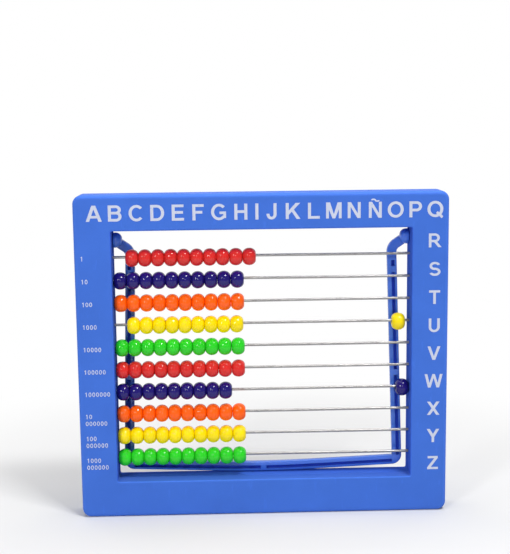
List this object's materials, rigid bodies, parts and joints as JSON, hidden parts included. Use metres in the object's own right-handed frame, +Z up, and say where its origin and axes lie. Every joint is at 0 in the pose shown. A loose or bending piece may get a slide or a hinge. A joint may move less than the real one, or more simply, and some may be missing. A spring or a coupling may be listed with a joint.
{
  "type": "abacus",
  "caption": "Counting frame with rows of coloured beads sliding on steel wires in a hollow plastic frame, and a stand that folds out of its back.",
  "frame": {"origin": "under the middle of the base, with the stand folded away", "axes": "+X to the right seen from the front and along the wires, +Y from the front to the back, +Z up"},
  "size_m": [0.187, 0.016, 0.165],
  "materials": {
    "frame_blue": "satin moulded",
    "steel": "bright drawn",
    "red": "glossy moulded",
    "indigo": "glossy moulded",
    "orange": "glossy moulded",
    "yellow": "glossy moulded",
    "green": "glossy moulded"
  },
  "bodies": {
    "frame": {"front_frame": "frame_blue", "rear_frame": "frame_blue", "row_01_wire": "steel", "row_02_wire": "steel", "row_03_wire": "steel", "row_04_wire": "steel", "row_05_wire": "steel", "row_06_wire": "steel", "row_07_wire": "steel", "row_08_wire": "steel", "row_09_wire": "steel", "row_10_wire": "steel"},
    "stand": {"stand": "frame_blue"},
    "row_01_beads_1_to_5": {"row_01_beads_1_to_5": "red"},
    "row_01_beads_6_to_8": {"row_01_beads_6_to_8": "red"},
    "row_01_bead_9": {"row_01_bead_9": "red"},
    "row_01_bead_10": {"row_01_bead_10": "red"},
    "row_02_beads_1_to_5": {"row_02_beads_1_to_5": "indigo"},
    "row_02_beads_6_to_8": {"row_02_beads_6_to_8": "indigo"},
    "row_02_bead_9": {"row_02_bead_9": "indigo"},
    "row_02_bead_10": {"row_02_bead_10": "indigo"},
    "row_03_beads_1_to_5": {"row_03_beads_1_to_5": "orange"},
    "row_03_beads_6_to_8": {"row_03_beads_6_to_8": "orange"},
    "row_03_bead_9": {"row_03_bead_9": "orange"},
    "row_03_bead_10": {"row_03_bead_10": "orange"},
    "row_04_beads_1_to_5": {"row_04_beads_1_to_5": "yellow"},
    "row_04_beads_6_to_8": {"row_04_beads_6_to_8": "yellow"},
    "row_04_bead_9": {"row_04_bead_9": "yellow"},
    "row_04_bead_10": {"row_04_bead_10": "yellow"},
    "row_05_beads_1_to_5": {"row_05_beads_1_to_5": "green"},
    "row_05_beads_6_to_8": {"row_05_beads_6_to_8": "green"},
    "row_05_bead_9": {"row_05_bead_9": "green"},
    "row_05_bead_10": {"row_05_bead_10": "green"},
    "row_06_beads_1_to_5": {"row_06_beads_1_to_5": "red"},
    "row_06_beads_6_to_8": {"row_06_beads_6_to_8": "red"},
    "row_06_bead_9": {"row_06_bead_9": "red"},
    "row_06_bead_10": {"row_06_bead_10": "red"},
    "row_07_beads_1_to_5": {"row_07_beads_1_to_5": "indigo"},
    "row_07_beads_6_to_8": {"row_07_beads_6_to_8": "indigo"},
    "row_07_bead_9": {"row_07_bead_9": "indigo"},
    "row_07_bead_10": {"row_07_bead_10": "indigo"},
    "row_08_beads_1_to_5": {"row_08_beads_1_to_5": "orange"},
    "row_08_beads_6_to_8": {"row_08_beads_6_to_8": "orange"},
    "row_08_bead_9": {"row_08_bead_9": "orange"},
    "row_08_bead_10": {"row_08_bead_10": "orange"},
    "row_09_beads_1_to_5": {"row_09_beads_1_to_5": "yellow"},
    "row_09_beads_6_to_8": {"row_09_beads_6_to_8": "yellow"},
    "row_09_bead_9": {"row_09_bead_9": "yellow"},
    "row_09_bead_10": {"row_09_bead_10": "yellow"},
    "row_10_beads_1_to_5": {"row_10_beads_1_to_5": "green"},
    "row_10_beads_6_to_8": {"row_10_beads_6_to_8": "green"},
    "row_10_bead_9": {"row_10_bead_9": "green"},
    "row_10_bead_10": {"row_10_bead_10": "green"}
  },
  "joints": [
    {"name": "stand_hinge", "type": "hinge", "parent": "frame", "child": "stand", "pos_m": [0, 0.0037, 0.1415], "axis": [1, 0, 0], "range_deg": [0, 45]},
    {"name": "row_01_beads_1_to_5_slide", "type": "slide", "parent": "frame", "child": "row_01_beads_1_to_5", "axis": [1, 0, 0], "range_m": [-0.0062, 0.0194]},
    {"name": "row_01_beads_6_to_8_slide", "type": "slide", "parent": "row_01_beads_1_to_5", "child": "row_01_beads_6_to_8", "axis": [1, 0, 0], "range_m": [0, 0.0194]},
    {"name": "row_01_bead_9_slide", "type": "slide", "parent": "row_01_beads_6_to_8", "child": "row_01_bead_9", "axis": [1, 0, 0], "range_m": [0, 0.0194]},
    {"name": "row_01_bead_10_slide", "type": "slide", "parent": "row_01_bead_9", "child": "row_01_bead_10", "axis": [1, 0, 0], "range_m": [0, 0.0194]},
    {"name": "row_02_beads_1_to_5_slide", "type": "slide", "parent": "frame", "child": "row_02_beads_1_to_5", "axis": [1, 0, 0], "range_m": [0, 0.021]},
    {"name": "row_02_beads_6_to_8_slide", "type": "slide", "parent": "row_02_beads_1_to_5", "child": "row_02_beads_6_to_8", "axis": [1, 0, 0], "range_m": [0, 0.021]},
    {"name": "row_02_bead_9_slide", "type": "slide", "parent": "row_02_beads_6_to_8", "child": "row_02_bead_9", "axis": [1, 0, 0], "range_m": [0, 0.021]},
    {"name": "row_02_bead_10_slide", "type": "slide", "parent": "row_02_bead_9", "child": "row_02_bead_10", "axis": [1, 0, 0], "range_m": [0, 0.021]},
    {"name": "row_03_beads_1_to_5_slide", "type": "slide", "parent": "frame", "child": "row_03_beads_1_to_5", "axis": [1, 0, 0], "range_m": [0, 0.021]},
    {"name": "row_03_beads_6_to_8_slide", "type": "slide", "parent": "row_03_beads_1_to_5", "child": "row_03_beads_6_to_8", "axis": [1, 0, 0], "range_m": [0, 0.021]},
    {"name": "row_03_bead_9_slide", "type": "slide", "parent": "row_03_beads_6_to_8", "child": "row_03_bead_9", "axis": [1, 0, 0], "range_m": [0, 0.021]},
    {"name": "row_03_bead_10_slide", "type": "slide", "parent": "row_03_bead_9", "child": "row_03_bead_10", "axis": [1, 0, 0], "range_m": [0, 0.021]},
    {"name": "row_04_beads_1_to_5_slide", "type": "slide", "parent": "frame", "child": "row_04_beads_1_to_5", "axis": [1, 0, 0], "range_m": [-0.0062, 0.0189]},
    {"name": "row_04_beads_6_to_8_slide", "type": "slide", "parent": "row_04_beads_1_to_5", "child": "row_04_beads_6_to_8", "axis": [1, 0, 0], "range_m": [0, 0.0189]},
    {"name": "row_04_bead_9_slide", "type": "slide", "parent": "row_04_beads_6_to_8", "child": "row_04_bead_9", "axis": [1, 0, 0], "range_m": [0, 0.0189]},
    {"name": "row_04_bead_10_slide", "type": "slide", "parent": "frame", "child": "row_04_bead_10", "axis": [1, 0, 0], "range_m": [-0.0189, 0.0022]},
    {"name": "row_05_beads_1_to_5_slide", "type": "slide", "parent": "frame", "child": "row_05_beads_1_to_5", "axis": [1, 0, 0], "range_m": [0, 0.021]},
    {"name": "row_05_beads_6_to_8_slide", "type": "slide", "parent": "row_05_beads_1_to_5", "child": "row_05_beads_6_to_8", "axis": [1, 0, 0], "range_m": [0, 0.021]},
    {"name": "row_05_bead_9_slide", "type": "slide", "parent": "row_05_beads_6_to_8", "child": "row_05_bead_9", "axis": [1, 0, 0], "range_m": [0, 0.021]},
    {"name": "row_05_bead_10_slide", "type": "slide", "parent": "row_05_bead_9", "child": "row_05_bead_10", "axis": [1, 0, 0], "range_m": [0, 0.021]},
    {"name": "row_06_beads_1_to_5_slide", "type": "slide", "parent": "frame", "child": "row_06_beads_1_to_5", "axis": [1, 0, 0], "range_m": [0, 0.021]},
    {"name": "row_06_beads_6_to_8_slide", "type": "slide", "parent": "row_06_beads_1_to_5", "child": "row_06_beads_6_to_8", "axis": [1, 0, 0], "range_m": [0, 0.021]},
    {"name": "row_06_bead_9_slide", "type": "slide", "parent": "row_06_beads_6_to_8", "child": "row_06_bead_9", "axis": [1, 0, 0], "range_m": [0, 0.021]},
    {"name": "row_06_bead_10_slide", "type": "slide", "parent": "row_06_bead_9", "child": "row_06_bead_10", "axis": [1, 0, 0], "range_m": [0, 0.021]},
    {"name": "row_07_beads_1_to_5_slide", "type": "slide", "parent": "frame", "child": "row_07_beads_1_to_5", "axis": [1, 0, 0], "range_m": [0, 0.021]},
    {"name": "row_07_beads_6_to_8_slide", "type": "slide", "parent": "row_07_beads_1_to_5", "child": "row_07_beads_6_to_8", "axis": [1, 0, 0], "range_m": [0, 0.021]},
    {"name": "row_07_bead_9_slide", "type": "slide", "parent": "row_07_beads_6_to_8", "child": "row_07_bead_9", "axis": [1, 0, 0], "range_m": [0, 0.021]},
    {"name": "row_07_bead_10_slide", "type": "slide", "parent": "frame", "child": "row_07_bead_10", "axis": [1, 0, 0], "range_m": [-0.021, 0]},
    {"name": "row_08_beads_1_to_5_slide", "type": "slide", "parent": "frame", "child": "row_08_beads_1_to_5", "axis": [1, 0, 0], "range_m": [0, 0.021]},
    {"name": "row_08_beads_6_to_8_slide", "type": "slide", "parent": "row_08_beads_1_to_5", "child": "row_08_beads_6_to_8", "axis": [1, 0, 0], "range_m": [0, 0.021]},
    {"name": "row_08_bead_9_slide", "type": "slide", "parent": "row_08_beads_6_to_8", "child": "row_08_bead_9", "axis": [1, 0, 0], "range_m": [0, 0.021]},
    {"name": "row_08_bead_10_slide", "type": "slide", "parent": "row_08_bead_9", "child": "row_08_bead_10", "axis": [1, 0, 0], "range_m": [0, 0.021]},
    {"name": "row_09_beads_1_to_5_slide", "type": "slide", "parent": "frame", "child": "row_09_beads_1_to_5", "axis": [1, 0, 0], "range_m": [0, 0.021]},
    {"name": "row_09_beads_6_to_8_slide", "type": "slide", "parent": "row_09_beads_1_to_5", "child": "row_09_beads_6_to_8", "axis": [1, 0, 0], "range_m": [0, 0.021]},
    {"name": "row_09_bead_9_slide", "type": "slide", "parent": "row_09_beads_6_to_8", "child": "row_09_bead_9", "axis": [1, 0, 0], "range_m": [0, 0.021]},
    {"name": "row_09_bead_10_slide", "type": "slide", "parent": "row_09_bead_9", "child": "row_09_bead_10", "axis": [1, 0, 0], "range_m": [0, 0.021]},
    {"name": "row_10_beads_1_to_5_slide", "type": "slide", "parent": "frame", "child": "row_10_beads_1_to_5", "axis": [1, 0, 0], "range_m": [0, 0.021]},
    {"name": "row_10_beads_6_to_8_slide", "type": "slide", "parent": "row_10_beads_1_to_5", "child": "row_10_beads_6_to_8", "axis": [1, 0, 0], "range_m": [0, 0.021]},
    {"name": "row_10_bead_9_slide", "type": "slide", "parent": "row_10_beads_6_to_8", "child": "row_10_bead_9", "axis": [1, 0, 0], "range_m": [0, 0.021]},
    {"name": "row_10_bead_10_slide", "type": "slide", "parent": "row_10_bead_9", "child": "row_10_bead_10", "axis": [1, 0, 0], "range_m": [0, 0.021]}
  ]
}
